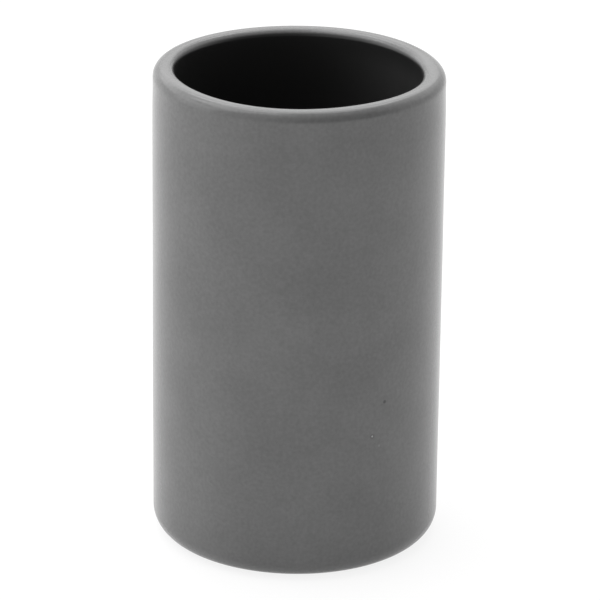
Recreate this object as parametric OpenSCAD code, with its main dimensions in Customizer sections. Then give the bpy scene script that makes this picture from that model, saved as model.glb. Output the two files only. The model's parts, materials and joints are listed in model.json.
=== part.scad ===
/* [Cup] */
// Outside diameter of the straight wall, over the glaze
outer_d = 65; // [58:0.5:90]
// Height from the foot to the top of the rim
cup_h = 110; // [70:1:150]
// Thickness of the wall, both glazes included
wall_t = 5; // [4.9:0.1:8]
// Thickness of the floor above the hollow of the base, both glazes included
floor_t = 5; // [3:0.1:10]
// Radius where the inside wall turns into the floor
floor_round = 7; // [2:0.5:14]

/* [Rim] */
// Radius of the rim's outer edge
rim_outer_round = 2.6; // [1:0.1:2.7]
// Radius of the rim's inner edge
rim_inner_round = 1.7; // [1:0.1:2.3]

/* [Foot] */
// Radius of the corner between the outside wall and the foot
foot_round = 5.2; // [3:0.1:8]
// Width of the flat ring that the tumbler stands on
foot_w = 4; // [2:0.5:8]
// Radius of the foot ring's inner edge
foot_edge_round = 0.4; // [0.1:0.1:0.5]
// Depth of the hollow inside the foot ring
recess_d = 1.2; // [1:0.1:2.5]
// Radius between the side and the roof of that hollow
recess_round = 0.6; // [0.1:0.1:0.8]

/* [Glaze] */
// Thickness of each fired glaze coat
glaze_t = 0.4; // [0.2:0.05:0.6]
// How far below the crest of the bare rim the outer and the inner glaze meet
seam_drop = 0.2; // [0.1:0.05:0.4]
// How far outside the flat of the foot the outer glaze is wiped off
outer_wipe = 1.6; // [1:0.1:2]
// How far inside the foot ring the base glaze is wiped off
base_wipe = 1.5; // [1:0.1:4]

/* [Hidden] */
$fn = 128;

// How far each cut runs past what it cuts
overrun = 1;

// Radius of the outside wall
outer_r = outer_d / 2;
// Radius of the clear inside
inner_r = outer_r - wall_t;
// Level of the inside floor
floor_z = recess_d + floor_t;
// Outer and inner radius of the flat ring that the tumbler stands on
foot_outer_r = outer_r - foot_round;
foot_inner_r = foot_outer_r - foot_w;
// Middle of the flat crest between the rim's two rounds
crest_r = (outer_r - rim_outer_round + inner_r + rim_inner_round) / 2;
// Level where the outer and the inner glaze meet inside the rim
seam_z = cup_h - glaze_t - seam_drop;
// Level halfway through the floor, between the inner and the base glaze
mid_floor_z = recess_d + floor_t / 2;
// Radii where the outer glaze and the base glaze stop, on either side of the dry foot
outer_glaze_stop_r = foot_outer_r + outer_wipe;
base_glaze_stop_r = foot_inner_r - base_wipe;

// What a round takes off a square corner at (x, z): side is 1 where the corner
// points away from the axis and -1 towards it, end is 1 at a top and -1 at a bottom.
module corner_waste(x, z, side, end, round_r)
    translate([x - side * round_r, z - end * round_r])
        difference() {
            translate([
                side > 0 ? 0 : -round_r - overrun,
                end > 0 ? 0 : -round_r - overrun
            ])
                square(round_r + overrun);
            circle(round_r);
        }

// Half section of the hollow that holds the water, grown by inset
module inside_section(inset)
    difference() {
        translate([0, floor_z - inset])
            square([inner_r + inset, cup_h]);
        corner_waste(inner_r + inset, floor_z - inset, 1, -1, floor_round + inset);
    }

// Half section of the shallow hollow under the base, grown by inset
module recess_section(inset)
    difference() {
        translate([0, -overrun])
            square([foot_inner_r + inset, recess_d + inset + overrun]);
        corner_waste(foot_inner_r + inset, recess_d + inset, 1, 1, recess_round + inset);
    }

// Half section of the glazed cup, with every face drawn in by inset
module cup_section(inset)
    difference() {
        translate([0, inset])
            square([outer_r - inset, cup_h - inset - inset]);
        inside_section(inset);
        recess_section(inset);
        corner_waste(outer_r - inset, cup_h - inset, 1, 1, rim_outer_round - inset);
        corner_waste(inner_r + inset, cup_h - inset, -1, 1, rim_inner_round - inset);
        corner_waste(outer_r - inset, inset, 1, -1, foot_round - inset);
    }

// Half section of an even glaze coat over the whole cup
module coat_section()
    difference() {
        cup_section(0);
        cup_section(glaze_t);
    }

// The outer coat: from its wiped edge at the foot, up the wall and just over the rim
module outer_glaze_section()
    intersection() {
        coat_section();
        union() {
            translate([outer_glaze_stop_r, 0])
                square([outer_r, mid_floor_z]);
            translate([crest_r, mid_floor_z])
                square([outer_r, cup_h]);
            translate([0, seam_z])
                square([outer_r, cup_h]);
        }
    }

// The inner coat: the whole inside, up to where the outer one ends
module inner_glaze_section()
    intersection() {
        coat_section();
        translate([0, mid_floor_z])
            square([crest_r, seam_z - mid_floor_z]);
    }

// The base coat: a round patch on the roof of the hollow under the base
module base_glaze_section()
    intersection() {
        coat_section();
        square([base_glaze_stop_r, mid_floor_z]);
    }

// Fired clay: what is left of the cup under its three coats, with a dry foot ring
module body_section()
    difference() {
        cup_section(0);
        outer_glaze_section();
        inner_glaze_section();
        base_glaze_section();
        corner_waste(foot_inner_r, 0, -1, -1, foot_edge_round);
    }

module tumbler_body()
    color("#b4aca0")
        rotate_extrude()
            body_section();

module outer_glaze()
    color("#565656")
        rotate_extrude()
            outer_glaze_section();

module inner_glaze()
    color("#161616")
        rotate_extrude()
            inner_glaze_section();

module base_glaze()
    color("#565656")
        rotate_extrude()
            base_glaze_section();

tumbler_body();
outer_glaze();
inner_glaze();
base_glaze();
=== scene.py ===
import json
import math

import bmesh
import bpy
from mathutils import Matrix, Vector


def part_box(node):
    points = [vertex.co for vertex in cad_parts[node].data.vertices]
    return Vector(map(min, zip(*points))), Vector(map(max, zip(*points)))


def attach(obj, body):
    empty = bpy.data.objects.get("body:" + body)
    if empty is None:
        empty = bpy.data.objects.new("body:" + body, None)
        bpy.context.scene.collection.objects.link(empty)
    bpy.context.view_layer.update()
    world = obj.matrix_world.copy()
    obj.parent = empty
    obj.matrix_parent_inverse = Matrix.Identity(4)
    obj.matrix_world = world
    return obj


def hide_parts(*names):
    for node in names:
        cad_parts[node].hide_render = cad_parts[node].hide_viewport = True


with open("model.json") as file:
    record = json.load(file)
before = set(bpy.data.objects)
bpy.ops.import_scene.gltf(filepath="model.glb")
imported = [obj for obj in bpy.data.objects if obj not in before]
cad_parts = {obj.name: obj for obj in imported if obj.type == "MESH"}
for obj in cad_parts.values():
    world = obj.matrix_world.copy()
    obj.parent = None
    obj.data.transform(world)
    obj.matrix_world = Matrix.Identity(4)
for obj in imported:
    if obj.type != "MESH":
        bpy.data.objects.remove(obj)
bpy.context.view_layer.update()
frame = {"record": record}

MM = 0.001
BODY = "root"

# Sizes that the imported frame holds, in metres
outer_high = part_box("outer_glaze")[1]
clay_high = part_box("tumbler_body")[1]
inner_low, inner_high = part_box("inner_glaze")
patch_low, patch_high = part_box("base_glaze")
mounts = {mount["name"]: mount for mount in frame["record"]["mounts"]}
OUTER_R = outer_high.x
CUP_H = outer_high.z
COAT = OUTER_R - clay_high.x
INNER_R = mounts["inside_wall"]["dims"]["r_mm"] * MM
SEAM_Z = inner_high.z
FLOOR_Z = inner_low.z + COAT
RECESS_Z = patch_low.z
PATCH_R = patch_high.x

# Sizes of the rounds and of the foot, which the frame holds only as surfaces
RIM_OUTER_ROUND = 2.6 * MM
RIM_INNER_ROUND = 1.7 * MM
FOOT_ROUND = 5.2 * MM
FLOOR_ROUND = 7.0 * MM
FOOT_W = 4.0 * MM
FOOT_EDGE_ROUND = 0.4 * MM
RECESS_ROUND = 0.6 * MM
OUTER_WIPE = 1.6 * MM
# Round that the wiped edge of the base glaze melts to
WIPED_EDGE_ROUND = 0.15 * MM

FOOT_OUTER_R = OUTER_R - FOOT_ROUND
FOOT_INNER_R = FOOT_OUTER_R - FOOT_W
CREST_R = (OUTER_R - RIM_OUTER_ROUND + INNER_R + RIM_INNER_ROUND) / 2

# How the outside wall leaves a straight line: the sponge draws it in under the rim, and lower down it swells
NECK_DEPTH = 0.12 * MM
NECK_Z = CUP_H - 4.0 * MM
NECK_REACH = 4.0 * MM
BELLY_DEPTH = 0.05 * MM
BELLY_Z = 40.0 * MM
BELLY_REACH = 26.0 * MM

# How the hand left the rim, as waves round it: how many to a turn, how far they go, and where one is
# highest, in degrees from the camera's side to the right. None to a turn is an even shift all round.

# How far the crest stands above its level
CREST_WAVES = [
    (0, -0.02 * MM, 0.0),
    (1, 0.18 * MM, 250.0),
    (2, 0.05 * MM, 105.0),
    (3, 0.08 * MM, 40.0),
    (4, 0.04 * MM, 36.0),
]
# How far the mouth closes in
MOUTH_WAVES = [
    (0, 0.13 * MM, 0.0),
    (1, 0.51 * MM, 155.0),
    (2, 0.10 * MM, 134.0),
    (4, 0.10 * MM, 25.0),
]
# How much deeper the grey glaze runs inside
GREY_WAVES = [
    (0, 0.02 * MM, 0.0),
    (1, 0.06 * MM, 95.0),
    (2, 0.03 * MM, 26.0),
    (3, 0.05 * MM, 84.0),
]
# How far below the rim the crest's and the mouth's waves have died away
RIM_REACH = 22.0 * MM

# How finely the half sections are drawn, where they show and where they are hidden in the wall
WALL_STEP = 1.4 * MM
ARC_STEP = 6.0
HIDDEN_STEP = 5.0 * MM
HIDDEN_ARC_STEP = 15.0

# How the sections are turned: steps around, the gap that is welded shut, the bend that stays a sharp edge,
# and how far the wall lies off its round, as a share of its radius, in lumps of which size
TURNING_SIZES = {
    "Around": 240,
    "Weld": 0.0005 * MM,
    "Crease": math.radians(40.0),
    "Unevenness": 0.05 * MM / OUTER_R,
    "Unevenness Size": 26.0 * MM,
}
# How far those lumps break up into smaller ones
LUMPS_BREAK_UP = 1.0


# Places, objects, nodes and colours

def direction(turn, rise):
    """Unit vector away from the axis: its turn from the camera's side to the right, and its rise."""
    turn, rise = math.radians(turn), math.radians(rise)
    return Vector((math.sin(turn) * math.cos(rise), -math.cos(turn) * math.cos(rise), math.sin(rise)))


def looking_at(target, out, distance):
    """Place of a camera or a lamp that looks at the target from this far out."""
    aim = (-out).to_track_quat("-Z", "Y").to_matrix().to_4x4()
    return Matrix.Translation(target + out * distance) @ aim


def add_object(name, data):
    """Put a new object into the scene, at the origin."""
    thing = bpy.data.objects.new(name, data)
    bpy.context.scene.collection.objects.link(thing)
    return thing


def emptied_tree(owner):
    """Node tree of a new material or world, with nothing in it yet."""
    owner.use_nodes = True
    owner.node_tree.nodes.clear()
    return owner.node_tree


def add(tree, kind, inputs=None, **settings):
    """Add one node, set its own settings, and give each input, by name or number, a value or a link.

    The Mix node goes by number, because it has inputs of one name: 0 is how much of the second there is, 2
    and 3 are its two values, and 6 and 7 its two colours, which come out at 2.
    """
    node = tree.nodes.new(kind)
    for setting, value in settings.items():
        setattr(node, setting, value)
    for key, value in (inputs or {}).items():
        if isinstance(value, bpy.types.NodeSocket):
            tree.links.new(value, node.inputs[key])
        else:
            node.inputs[key].default_value = value
    return node


def colour(hex_text):
    """Linear colour of an sRGB hex value."""
    channels = [int(hex_text[i:i + 2], 16) / 255 for i in (1, 3, 5)]
    linear = [c / 12.92 if c <= 0.04045 else ((c + 0.055) / 1.055) ** 2.4 for c in channels]
    return (*linear, 1.0)


# Camera

# The camera looks at a point near the middle of the tumbler, from this far and this high, with a slight roll
CAMERA_DISTANCE = 882.0 * MM
CAMERA_RISE = 21.31
CAMERA_ROLL = 0.654
CAMERA_TARGET = Vector((0.67 * MM, 0.0, 54.72 * MM))
CAMERA_CLIP_START = 10.0 * MM
SENSOR_MM = 36.0
LENS_MM = 234.7


def make_camera():
    """A long lens, looking down on the rim as in the photograph."""
    data = bpy.data.cameras.new("camera")
    data.sensor_width = SENSOR_MM
    data.lens = LENS_MM
    data.clip_start = CAMERA_CLIP_START
    camera = add_object("camera", data)
    roll = Matrix.Rotation(math.radians(CAMERA_ROLL), 4, "Z")
    camera.matrix_world = looking_at(CAMERA_TARGET, direction(0.0, CAMERA_RISE), CAMERA_DISTANCE) @ roll
    bpy.context.scene.camera = camera


# Glaze

# Stoneware glaze, sprayed on and fired: satin-matt grey outside and over the rim, satin black inside.
# The spray leaves it softly clouded, and it meets the light with a broad, dulled shine.
GREY_PALE = "#5b5b5b"
GREY_DEEP = "#4d4d4d"
BLACK_PALE = "#1d1d1d"
BLACK_DEEP = "#1b1b1b"
GLAZE_IOR = 1.52
GREY_ROUGHNESS = 0.22
BLACK_ROUGHNESS = 0.33

# Clouds in the glaze: how large the broad and the fine ones are and how far they break up, the fine ones'
# share in the grey, and where in the clouds the grey is deepest and palest
BROAD_CLOUD = 14.0 * MM
BROAD_BREAK_UP = 3.0
FINE_CLOUD = 0.8 * MM
FINE_BREAK_UP = 2.0
FINE_SHARE = 0.5
DEEPEST_AT = 0.3
PALEST_AT = 0.7

# The tooth that dulls the shine is far finer than a pixel, so it is drawn this coarse and this faint
TOOTH = 0.5 * MM
TOOTH_BREAK_UP = 3.0
TOOTH_DEPTH = 0.02 * MM
TOOTH_STRENGTH = 0.1

# Small faults fired into the grey: how many degrees to the right, how high, how wide, and of which colour.
# The photographed side has an iron spot, a pinhole in its dark ring and a pale spot below that, and the
# far side has three faint specks.
FAULTS = [
    (37.0, 41.0 * MM, 0.8 * MM, "#363636"),
    (31.4, 33.4 * MM, 1.1 * MM, "#474747"),
    (31.4, 33.4 * MM, 0.45 * MM, "#848484"),
    (34.7, 30.8 * MM, 0.6 * MM, "#616161"),
    (128.0, 72.0 * MM, 0.5 * MM, "#3e3e3e"),
    (203.0, 24.0 * MM, 0.7 * MM, "#3a3a3a"),
    (288.0, 55.0 * MM, 0.4 * MM, "#414141"),
]
# How far from its middle a fault keeps its full colour, and where it is gone, as shares of its width
FAULT_FULL = 0.3
FAULT_GONE = 0.7

# Where the sprayed grey thins out over the black inside the rim, below the crest, and how grainy it ends
FADE_START = 0.4 * MM
FADE_END = 0.95 * MM
FADE_GRAIN = 0.12 * MM

# Painted light inside: the grey is mixed into the black on the right, where light from the left falls. How
# far right of the axis it starts and is strongest, how far below the crest it starts and is strongest, and
# how much of the black it hides there
PAINTED_LIGHT_LEFT = 2.0 * MM
PAINTED_LIGHT_RIGHT = 27.0 * MM
PAINTED_LIGHT_TOP = 1.0 * MM
PAINTED_LIGHT_FULL = 7.0 * MM
PAINTED_LIGHT_SHARE = 0.2


def clouded_grey(tree, place, broad, fine):
    """The grey, clouded by how thick the spray lay, with the small faults fired into it."""
    cloud = add(tree, "ShaderNodeMix", {0: FINE_SHARE, 2: broad, 3: fine}, data_type="FLOAT")
    ramp = add(tree, "ShaderNodeValToRGB", {"Fac": cloud.outputs[0]})
    deep, pale = ramp.color_ramp.elements
    deep.position = DEEPEST_AT
    deep.color = colour(GREY_DEEP)
    pale.position = PALEST_AT
    pale.color = colour(GREY_PALE)
    grey = ramp.outputs["Color"]
    for turn, height, width, fault_colour in FAULTS:
        centre = direction(turn, 0.0) * OUTER_R + Vector((0.0, 0.0, height))
        away = add(tree, "ShaderNodeVectorMath", {0: place, 1: centre}, operation="DISTANCE")
        spot = add(tree, "ShaderNodeMapRange", {
            "Value": away.outputs["Value"], "From Min": FAULT_GONE * width, "From Max": FAULT_FULL * width,
        }, interpolation_type="SMOOTHSTEP")
        marked = add(tree, "ShaderNodeMix", {0: spot.outputs[0], 6: grey, 7: colour(fault_colour)},
                     data_type="RGBA")
        grey = marked.outputs[2]
    return grey


def black_showing(tree, place, fine):
    """How much of the black shows: none outside, and inside all of it but where the grey reached or painted
    light pales it.
    """
    # The radius and height on the turned shape, and how much deeper the hand let the grey run
    turned = add(tree, "ShaderNodeAttribute", attribute_name="turned")
    turned = add(tree, "ShaderNodeSeparateXYZ", {"Vector": turned.outputs["Vector"]})
    deeper = add(tree, "ShaderNodeAttribute", attribute_name="grey_deeper")

    # The grey thins out just inside the rim, with a grainy edge
    level = add(tree, "ShaderNodeMath", {0: fine, 1: FADE_GRAIN, 2: turned.outputs["Z"]},
                operation="MULTIPLY_ADD")
    level = add(tree, "ShaderNodeMath", {0: level.outputs[0], 1: deeper.outputs["Fac"]}, operation="ADD")
    thinned = add(tree, "ShaderNodeMapRange", {
        "Value": level.outputs[0], "From Min": CUP_H - FADE_START, "From Max": CUP_H - FADE_END,
    }, interpolation_type="SMOOTHSTEP")
    inside = add(tree, "ShaderNodeMath", {0: turned.outputs["X"], 1: CREST_R}, operation="LESS_THAN")
    black = add(tree, "ShaderNodeMath", {0: thinned.outputs[0], 1: inside.outputs[0]}, operation="MULTIPLY")

    # Painted light: the grey shows through on the right of the inside and stands for the light that falls
    # there from the left
    across = add(tree, "ShaderNodeSeparateXYZ", {"Vector": place})
    right = add(tree, "ShaderNodeMapRange", {
        "Value": across.outputs["X"], "From Min": PAINTED_LIGHT_LEFT, "From Max": PAINTED_LIGHT_RIGHT,
        "To Max": PAINTED_LIGHT_SHARE,
    }, interpolation_type="SMOOTHSTEP")
    below = add(tree, "ShaderNodeMapRange", {
        "Value": turned.outputs["Z"], "From Min": CUP_H - PAINTED_LIGHT_FULL, "From Max": CUP_H - PAINTED_LIGHT_TOP,
        "To Min": 1.0, "To Max": 0.0,
    }, interpolation_type="SMOOTHSTEP")
    painted_light = add(tree, "ShaderNodeMath", {0: right.outputs[0], 1: below.outputs[0]}, operation="MULTIPLY")
    unpainted = add(tree, "ShaderNodeMath", {0: 1.0, 1: painted_light.outputs[0]}, operation="SUBTRACT")
    black = add(tree, "ShaderNodeMath", {0: black.outputs[0], 1: unpainted.outputs[0]}, operation="MULTIPLY")
    return black.outputs[0]


def glaze(name, roughness):
    """Fired glaze that goes from the grey to the black by its place on the turned shape."""
    material = bpy.data.materials.new(name)
    tree = emptied_tree(material)
    place = add(tree, "ShaderNodeTexCoord").outputs["Object"]
    broad = add(tree, "ShaderNodeTexNoise", {
        "Vector": place, "Scale": 1 / BROAD_CLOUD, "Detail": BROAD_BREAK_UP,
    }).outputs["Fac"]
    fine = add(tree, "ShaderNodeTexNoise", {
        "Vector": place, "Scale": 1 / FINE_CLOUD, "Detail": FINE_BREAK_UP,
    }).outputs["Fac"]
    grey = clouded_grey(tree, place, broad, fine)
    black = add(tree, "ShaderNodeMix", {0: broad, 6: colour(BLACK_DEEP), 7: colour(BLACK_PALE)},
                data_type="RGBA")
    shown = add(tree, "ShaderNodeMix", {0: black_showing(tree, place, fine), 6: grey, 7: black.outputs[2]},
                data_type="RGBA")
    tooth = add(tree, "ShaderNodeTexNoise", {"Vector": place, "Scale": 1 / TOOTH, "Detail": TOOTH_BREAK_UP})
    bump = add(tree, "ShaderNodeBump", {
        "Height": tooth.outputs["Fac"], "Strength": TOOTH_STRENGTH, "Distance": TOOTH_DEPTH,
    })
    shader = add(tree, "ShaderNodeBsdfPrincipled", {
        "Base Color": shown.outputs[2], "Roughness": roughness, "IOR": GLAZE_IOR,
        "Normal": bump.outputs["Normal"],
    })
    add(tree, "ShaderNodeOutputMaterial", {"Surface": shader.outputs[0]})
    return material


# Bare clay

# Stoneware, turned, sponged and fired without a glaze: dry, pale and sandy to the eye. Its grog is finer
# than a pixel, so it is drawn this coarse.
CLAY_DARK = "#a89f92"
CLAY_PALE = "#c3bbae"
CLAY_ROUGHNESS = 0.9
GROG = 0.5 * MM
GROG_BREAK_UP = 4.0
GROG_DEPTH = 0.05 * MM
GROG_STRENGTH = 0.6


def fired_stoneware():
    """The clay of the dry foot ring, mottled and roughened by its grog."""
    material = bpy.data.materials.new("fired_stoneware")
    tree = emptied_tree(material)
    place = add(tree, "ShaderNodeTexCoord").outputs["Object"]
    grog = add(tree, "ShaderNodeTexNoise", {"Vector": place, "Scale": 1 / GROG, "Detail": GROG_BREAK_UP})
    body = add(tree, "ShaderNodeMix", {0: grog.outputs["Fac"], 6: colour(CLAY_DARK), 7: colour(CLAY_PALE)},
               data_type="RGBA")
    bump = add(tree, "ShaderNodeBump", {
        "Height": grog.outputs["Fac"], "Strength": GROG_STRENGTH, "Distance": GROG_DEPTH,
    })
    shader = add(tree, "ShaderNodeBsdfPrincipled", {
        "Base Color": body.outputs[2], "Roughness": CLAY_ROUGHNESS, "Normal": bump.outputs["Normal"],
    })
    add(tree, "ShaderNodeOutputMaterial", {"Surface": shader.outputs[0]})
    return material


# Half sections of the turned pieces, as points (radius, height) in metres

def arc(centre_r, centre_z, radius, start, end, step=ARC_STEP):
    """Points round a centre from one angle to another, in degrees above straight out from the axis."""
    count = max(2, round(abs(end - start) / step))
    angles = [math.radians(start + (end - start) * i / count) for i in range(count + 1)]
    return [(centre_r + radius * math.cos(a), centre_z + radius * math.sin(a)) for a in angles]


def straight(start, end, step):
    """Points along a straight stretch, without its two ends."""
    count = max(1, round(math.dist(start, end) / step))
    return [tuple(a + (b - a) * i / count for a, b in zip(start, end)) for i in range(1, count)]


def join(*stretches, step):
    """One line through the stretches, with the straights between them filled in."""
    line = list(stretches[0])
    for stretch in stretches[1:]:
        line += straight(line[-1], stretch[0], step)
        line += stretch
    return line


def outside_line(inset, step, arc_step, foot_start):
    """Up the outside from the foot corner, over the rim's outer edge to the crest."""
    foot = arc(FOOT_OUTER_R, FOOT_ROUND, FOOT_ROUND - inset, foot_start, 0, arc_step)
    rim = arc(OUTER_R - RIM_OUTER_ROUND, CUP_H - RIM_OUTER_ROUND, RIM_OUTER_ROUND - inset, 0, 90, arc_step)
    return join(foot, rim, step=step)


def inner_rim_arc(inset, arc_step, start, end):
    """Part of the rim's inner edge, from the crest at 90 degrees to the wall at 180."""
    centre_r = INNER_R + RIM_INNER_ROUND
    return arc(centre_r, CUP_H - RIM_INNER_ROUND, RIM_INNER_ROUND - inset, start, end, arc_step)


def seam_angle(inset):
    """Angle on the rim's inner edge at which the two coats meet."""
    return 180 - math.degrees(math.asin((SEAM_Z - CUP_H + RIM_INNER_ROUND) / (RIM_INNER_ROUND - inset)))


def wipe_angle(inset):
    """Angle on the foot corner at which the outer coat is wiped off."""
    return -math.degrees(math.acos(OUTER_WIPE / (FOOT_ROUND - inset)))


def inside_line(inset, step, arc_step):
    """Down the inside wall from the seam and over the floor to the axis."""
    rim = inner_rim_arc(inset, arc_step, seam_angle(inset), 180)
    corner = arc(INNER_R - FLOOR_ROUND, FLOOR_Z + FLOOR_ROUND, FLOOR_ROUND + inset, 0, -90, arc_step)
    return join(rim, corner, [(0.0, FLOOR_Z - inset)], step=step)


def outer_glaze_section():
    """The outer coat: from its wiped edge at the foot over the rim to the seam, and back along the clay."""
    shown = outside_line(0, WALL_STEP, ARC_STEP, wipe_angle(0))
    shown = join(shown, inner_rim_arc(0, ARC_STEP, 90, seam_angle(0)), step=WALL_STEP)
    hidden = outside_line(COAT, HIDDEN_STEP, HIDDEN_ARC_STEP, wipe_angle(COAT))
    hidden = join(hidden, inner_rim_arc(COAT, HIDDEN_ARC_STEP, 90, seam_angle(COAT)), step=HIDDEN_STEP)
    loop = shown + hidden[::-1]
    return loop + loop[:1]


def inner_glaze_section():
    """The inner coat: along the clay from the axis up to the seam, and down the side that shows."""
    hidden = inside_line(COAT, HIDDEN_STEP, HIDDEN_ARC_STEP)
    return hidden[::-1] + inside_line(0, WALL_STEP, ARC_STEP)


def base_glaze_section():
    """The patch of glaze on the roof of the hollow under the base."""
    edge = arc(PATCH_R - WIPED_EDGE_ROUND, RECESS_Z + WIPED_EDGE_ROUND, WIPED_EDGE_ROUND, -90, 0)
    top = [(PATCH_R, RECESS_Z + COAT)]
    return join([(0.0, RECESS_Z)], edge, top, [(0.0, RECESS_Z + COAT)], step=HIDDEN_STEP)


def clay_section():
    """The clay: out under the base, round the dry foot, and then all along the backs of the two coats."""
    under = [(0.0, RECESS_Z + COAT), (PATCH_R, RECESS_Z + COAT), (PATCH_R, RECESS_Z)]
    hollow = arc(FOOT_INNER_R - RECESS_ROUND, RECESS_Z - RECESS_ROUND, RECESS_ROUND, 90, 0)
    edge = arc(FOOT_INNER_R + FOOT_EDGE_ROUND, FOOT_EDGE_ROUND, FOOT_EDGE_ROUND, 180, 270)
    foot = arc(FOOT_OUTER_R, FOOT_ROUND, FOOT_ROUND, -90, wipe_angle(0))
    wall = outside_line(COAT, HIDDEN_STEP, HIDDEN_ARC_STEP, wipe_angle(COAT))
    rim = inner_rim_arc(COAT, HIDDEN_ARC_STEP, 90, seam_angle(COAT))
    inside = inside_line(COAT, HIDDEN_STEP, HIDDEN_ARC_STEP)[1:]
    return join(under, hollow, edge, foot, wall, rim, inside, step=HIDDEN_STEP)


# The hand's marks on the turned shapes

def sponged(section):
    """The same half section with the neck and the belly that the outside wall has."""
    points = []
    for r, z in section:
        neck = NECK_DEPTH * math.exp(-((z - NECK_Z) / NECK_REACH) ** 2)
        belly = BELLY_DEPTH * math.exp(-((z - BELLY_Z) / BELLY_REACH) ** 2)
        outer_share = max(0.0, (r - CREST_R) / (OUTER_R - CREST_R))
        points.append((r + (belly - neck) * outer_share, z))
    return points


def height_of(waves, turn):
    """How far waves round the rim go at a turn, in radians from the camera's side to the right."""
    return sum(size * math.cos(count * (turn - math.radians(highest))) for count, size, highest in waves)


def left_by_hand(solid):
    """Move a turned mesh to where the hand left it near the rim, and note how much deeper the grey runs."""
    deeper = solid.attributes.new("grey_deeper", "FLOAT", "POINT")
    for vertex, note in zip(solid.vertices, deeper.data):
        x, y, z = vertex.co
        turn = math.atan2(x, -y)
        crest = height_of(CREST_WAVES, turn)
        mouth = height_of(MOUTH_WAVES, turn)
        # The waves are full at the rim and die away softly below it
        rise = min(1.0, max(0.0, 1 - (CUP_H - z) / RIM_REACH))
        near_rim = rise * rise * (3 - 2 * rise)
        # The mouth closes in and the outside stays where it is
        inner_share = min(1.0, (OUTER_R - math.hypot(x, y)) / (OUTER_R - INNER_R))
        narrower = 1 - mouth * near_rim * inner_share / INNER_R
        vertex.co = (x * narrower, y * narrower, z + crest * near_rim)
        note.value = height_of(GREY_WAVES, turn)


# The turning itself, as one node tree for all four pieces

# What the tree takes in
TURNING_INPUTS = {
    "Half Section": "NodeSocketGeometry",
    "Around": "NodeSocketInt",
    "Weld": "NodeSocketFloat",
    "Crease": "NodeSocketFloat",
    "Unevenness": "NodeSocketFloat",
    "Unevenness Size": "NodeSocketFloat",
    "Finish": "NodeSocketMaterial",
}


def off_round(tree, place, given):
    """How far each point of the wall moves out from the axis or in towards it, in broad soft lumps."""
    spots = add(tree, "ShaderNodeMath", {0: 1.0, 1: given["Unevenness Size"]}, operation="DIVIDE")
    lumps = add(tree, "ShaderNodeTexNoise", {
        "Vector": place, "Scale": spots.outputs[0], "Detail": LUMPS_BREAK_UP,
    })
    swell = add(tree, "ShaderNodeMapRange", {"Value": lumps.outputs["Fac"], "To Min": -1.0, "To Max": 1.0})
    swell = add(tree, "ShaderNodeMath", {0: swell.outputs[0], 1: given["Unevenness"]}, operation="MULTIPLY")
    level = add(tree, "ShaderNodeCombineXYZ", {"X": swell.outputs[0], "Y": swell.outputs[0]})
    shift = add(tree, "ShaderNodeVectorMath", {0: place, 1: level.outputs[0]}, operation="MULTIPLY")
    return shift.outputs[0]


def smoothed(tree, shape, crease):
    """The shape, smooth all over but for the edges where a coat ends."""
    smooth = add(tree, "GeometryNodeSetShadeSmooth", {"Geometry": shape, "Shade Smooth": True},
                 domain="FACE")
    bend = add(tree, "GeometryNodeInputMeshEdgeAngle").outputs["Unsigned Angle"]
    sharp = add(tree, "ShaderNodeMath", {0: bend, 1: crease}, operation="GREATER_THAN")
    creased = add(tree, "GeometryNodeSetShadeSmooth", {
        "Geometry": smooth.outputs["Geometry"], "Selection": sharp.outputs[0], "Shade Smooth": False,
    }, domain="EDGE")
    return creased.outputs["Geometry"]


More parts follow.
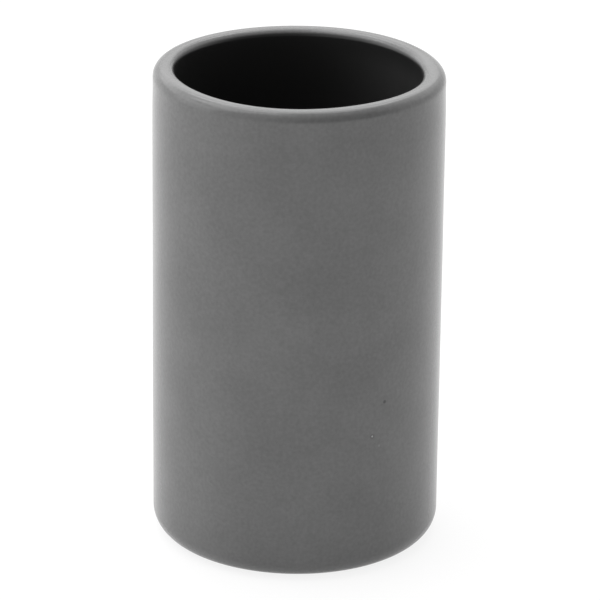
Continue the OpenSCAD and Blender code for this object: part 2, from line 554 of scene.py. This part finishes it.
def turning_tree():
    """Geometry nodes that turn a half section about the axis."""
    tree = bpy.data.node_groups.new("turned_on_the_wheel", "GeometryNodeTree")
    for name, kind in TURNING_INPUTS.items():
        tree.interface.new_socket(name, in_out="INPUT", socket_type=kind)
    tree.interface.new_socket("Piece", in_out="OUTPUT", socket_type="NodeSocketGeometry")
    given = add(tree, "NodeGroupInput").outputs

    # A flat grid with one column for each step around and one row for each point of the half section
    points = add(tree, "GeometryNodeAttributeDomainSize", {"Geometry": given["Half Section"]},
                 component="MESH").outputs["Point Count"]
    columns = add(tree, "ShaderNodeMath", {0: given["Around"], 1: 1.0}, operation="ADD")
    grid = add(tree, "GeometryNodeMeshGrid", {
        "Size X": 1.0, "Size Y": 1.0, "Vertices X": columns.outputs[0], "Vertices Y": points,
    })
    position = add(tree, "GeometryNodeInputPosition").outputs[0]
    flat = add(tree, "ShaderNodeSeparateXYZ", {"Vector": position})

    # The grid is 1 each way and centred: its rows pick the point of the half section, its columns the angle
    last = add(tree, "ShaderNodeMath", {0: points, 1: 1.0}, operation="SUBTRACT")
    row = add(tree, "ShaderNodeMath", {0: flat.outputs["Y"], 1: 0.5}, operation="ADD")
    row = add(tree, "ShaderNodeMath", {0: row.outputs[0], 1: last.outputs[0]}, operation="MULTIPLY")
    row = add(tree, "ShaderNodeMath", {0: row.outputs[0]}, operation="ROUND")
    point = add(tree, "GeometryNodeSampleIndex", {
        "Geometry": given["Half Section"], "Value": position, "Index": row.outputs[0],
    }, data_type="FLOAT_VECTOR", domain="POINT")
    turn = add(tree, "ShaderNodeMath", {0: flat.outputs["X"], 1: math.tau}, operation="MULTIPLY")
    place = add(tree, "ShaderNodeVectorRotate", {"Vector": point.outputs["Value"], "Angle": turn.outputs[0]},
                rotation_type="Z_AXIS").outputs["Vector"]

    # The place on the half section is noted for the glaze, and then the grid is wrapped and welded
    noted = add(tree, "GeometryNodeStoreNamedAttribute", {
        "Geometry": grid.outputs["Mesh"], "Name": "turned", "Value": point.outputs["Value"],
    }, data_type="FLOAT_VECTOR", domain="POINT")
    turned = add(tree, "GeometryNodeSetPosition", {
        "Geometry": noted.outputs["Geometry"], "Position": place, "Offset": off_round(tree, place, given),
    })
    welded = add(tree, "GeometryNodeMergeByDistance", {
        "Geometry": turned.outputs["Geometry"], "Distance": given["Weld"],
    })
    smooth = smoothed(tree, welded.outputs["Geometry"], given["Crease"])
    real = add(tree, "GeometryNodeRealizeInstances", {"Geometry": smooth})
    finished = add(tree, "GeometryNodeSetMaterial", {
        "Geometry": real.outputs["Geometry"], "Material": given["Finish"],
    })
    add(tree, "NodeGroupOutput", {"Piece": finished.outputs["Geometry"]})
    return tree


def turned_piece(name, section, tree, finish, node):
    """Turn one half section into a plain closed mesh that stands for a node of the frame."""
    line = bpy.data.meshes.new(name + "_section")
    points = [(r, 0.0, z) for r, z in sponged(section)]
    line.from_pydata(points, [(i, i + 1) for i in range(len(points) - 1)], [])
    piece = add_object(name, line)
    wheel = piece.modifiers.new("wheel", "NODES")
    wheel.node_group = tree
    values = {**TURNING_SIZES, "Finish": finish}
    for socket in tree.interface.items_tree:
        if socket.in_out == "INPUT" and socket.name in values:
            wheel[socket.identifier] = values[socket.name]
    graph = bpy.context.evaluated_depsgraph_get()
    turned = piece.evaluated_get(graph)
    solid = bpy.data.meshes.new_from_object(turned, preserve_all_data_layers=True, depsgraph=graph)
    piece.modifiers.remove(wheel)
    piece.data = solid
    solid.name = name
    bpy.data.meshes.remove(line)
    left_by_hand(solid)

    # All faces are made to point outwards, whichever way round the section was drawn
    shell = bmesh.new()
    shell.from_mesh(solid)
    bmesh.ops.recalc_face_normals(shell, faces=shell.faces)
    shell.to_mesh(solid)
    shell.free()

    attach(piece, BODY)
    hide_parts(node)


# Floor, room and lamps

WHITE = "#ffffff"
# Matt white paper, smooth and without a shine
PAPER = "#f6f6f6"
# Half the width of the floor, in metres
FLOOR_HALF = 3.0

# How much of the paper's look is an even white and not its own lit surface, to the camera and when mirrored
PAPER_WHITE_SHARE = 0.85
PAPER_MIRRORED_SHARE = 0.65

# Strength of the light from the room all round, and where the room is dimmer: the turn and rise of that
# place, how many degrees from it the room starts to brighten and is full again, and how much is missing
ROOM_LIGHT = 1.09
DIM_TURN = 30.0
DIM_RISE = 10.0
DIM_START = 15.0
DIM_END = 65.0
DIM_SHARE = 0.8

# Three rows of softboxes round the left and the back: the rise of each row in degrees, and then the power
# in watts of each lamp by its turn, in degrees from the camera's side to the right
SOFTBOX_ROWS = {
    65: {-90: 3.6, 180: 3.9},
    40: {-90: 1.3, -135: 2.0, 180: 1.9, 135: 1.0},
    15: {-90: 1.9, -135: 0.7, 180: 0.3},
}
# Edge of a softbox, and how far it stands from the middle of the tumbler, in metres
SOFTBOX_EDGE = 0.8
SOFTBOX_DISTANCE = 1.1


def make_floor():
    """A plain floor of white paper, white to the camera, that still takes the tumbler's shadow."""
    data = bpy.data.meshes.new("floor")
    corners = [(x * FLOOR_HALF, y * FLOOR_HALF, 0.0) for x, y in ((-1, -1), (1, -1), (1, 1), (-1, 1))]
    data.from_pydata(corners, [], [(0, 1, 2, 3)])
    floor = add_object("floor", data)
    material = bpy.data.materials.new("white_paper")
    tree = emptied_tree(material)
    rays = add(tree, "ShaderNodeLightPath").outputs
    seen = add(tree, "ShaderNodeMath", {0: rays["Is Camera Ray"], 1: PAPER_WHITE_SHARE},
               operation="MULTIPLY")
    mirrored = add(tree, "ShaderNodeMath", {0: rays["Is Glossy Ray"], 1: rays["Is Transmission Ray"]},
                   operation="MAXIMUM")
    share = add(tree, "ShaderNodeMath", {
        0: mirrored.outputs[0], 1: PAPER_MIRRORED_SHARE, 2: seen.outputs[0],
    }, operation="MULTIPLY_ADD")
    paper = add(tree, "ShaderNodeBsdfDiffuse", {"Color": colour(PAPER)})
    glow = add(tree, "ShaderNodeEmission", {"Color": colour(WHITE), "Strength": 1.0})
    both = add(tree, "ShaderNodeMixShader", {0: share.outputs[0], 1: paper.outputs[0], 2: glow.outputs[0]})
    add(tree, "ShaderNodeOutputMaterial", {"Surface": both.outputs[0]})
    data.materials.append(material)


def make_room():
    """A white room, even as the camera sees it, but dimmer on the camera's side for light and mirrors."""
    world = bpy.data.worlds.new("white_room")
    bpy.context.scene.world = world
    tree = emptied_tree(world)
    rays = add(tree, "ShaderNodeLightPath").outputs
    seen = add(tree, "ShaderNodeMath", {0: rays["Is Camera Ray"], 1: rays["Is Glossy Ray"]},
               operation="MAXIMUM")
    seen = add(tree, "ShaderNodeMath", {0: seen.outputs[0], 1: rays["Is Transmission Ray"]},
               operation="MAXIMUM")
    towards = add(tree, "ShaderNodeVectorMath", {
        0: add(tree, "ShaderNodeTexCoord").outputs["Generated"], 1: direction(DIM_TURN, DIM_RISE),
    }, operation="DOT_PRODUCT")
    level = add(tree, "ShaderNodeMapRange", {
        "Value": towards.outputs["Value"], "From Min": math.cos(math.radians(DIM_END)),
        "From Max": math.cos(math.radians(DIM_START)), "To Min": 1.0, "To Max": 1.0 - DIM_SHARE,
    }, interpolation_type="SMOOTHSTEP")
    light = add(tree, "ShaderNodeMath", {0: level.outputs[0], 1: ROOM_LIGHT}, operation="MULTIPLY")
    shown = add(tree, "ShaderNodeMath", {0: level.outputs[0], 1: rays["Is Camera Ray"]}, operation="MAXIMUM")
    room = add(tree, "ShaderNodeBackground", {"Color": colour(WHITE), "Strength": light.outputs[0]})
    white = add(tree, "ShaderNodeBackground", {"Color": colour(WHITE), "Strength": shown.outputs[0]})
    both = add(tree, "ShaderNodeMixShader", {0: seen.outputs[0], 1: room.outputs[0], 2: white.outputs[0]})
    add(tree, "ShaderNodeOutputWorld", {"Surface": both.outputs[0]})


def make_lamps():
    """The softboxes, all aimed at the middle of the tumbler."""
    middle = Vector((0.0, 0.0, CUP_H / 2))
    for rise, powers in SOFTBOX_ROWS.items():
        for turn, power in powers.items():
            name = f"softbox_{rise}_{turn % 360}"
            data = bpy.data.lights.new(name, "AREA")
            data.shape = "SQUARE"
            data.size = SOFTBOX_EDGE
            data.energy = power
            lamp = add_object(name, data)
            lamp.matrix_world = looking_at(middle, direction(turn, rise), SOFTBOX_DISTANCE)


# The scene

make_camera()
make_floor()
make_room()
make_lamps()
bpy.context.scene.view_settings.view_transform = "Standard"

grey_glaze = glaze("matt_grey_glaze", GREY_ROUGHNESS)
black_glaze = glaze("satin_black_glaze", BLACK_ROUGHNESS)
stoneware = fired_stoneware()
turning = turning_tree()
turned_piece("grey_outer_coat", outer_glaze_section(), turning, grey_glaze, "outer_glaze")
turned_piece("black_inner_coat", inner_glaze_section(), turning, black_glaze, "inner_glaze")
turned_piece("grey_base_coat", base_glaze_section(), turning, grey_glaze, "base_glaze")
turned_piece("clay_body", clay_section(), turning, stoneware, "tumbler_body")
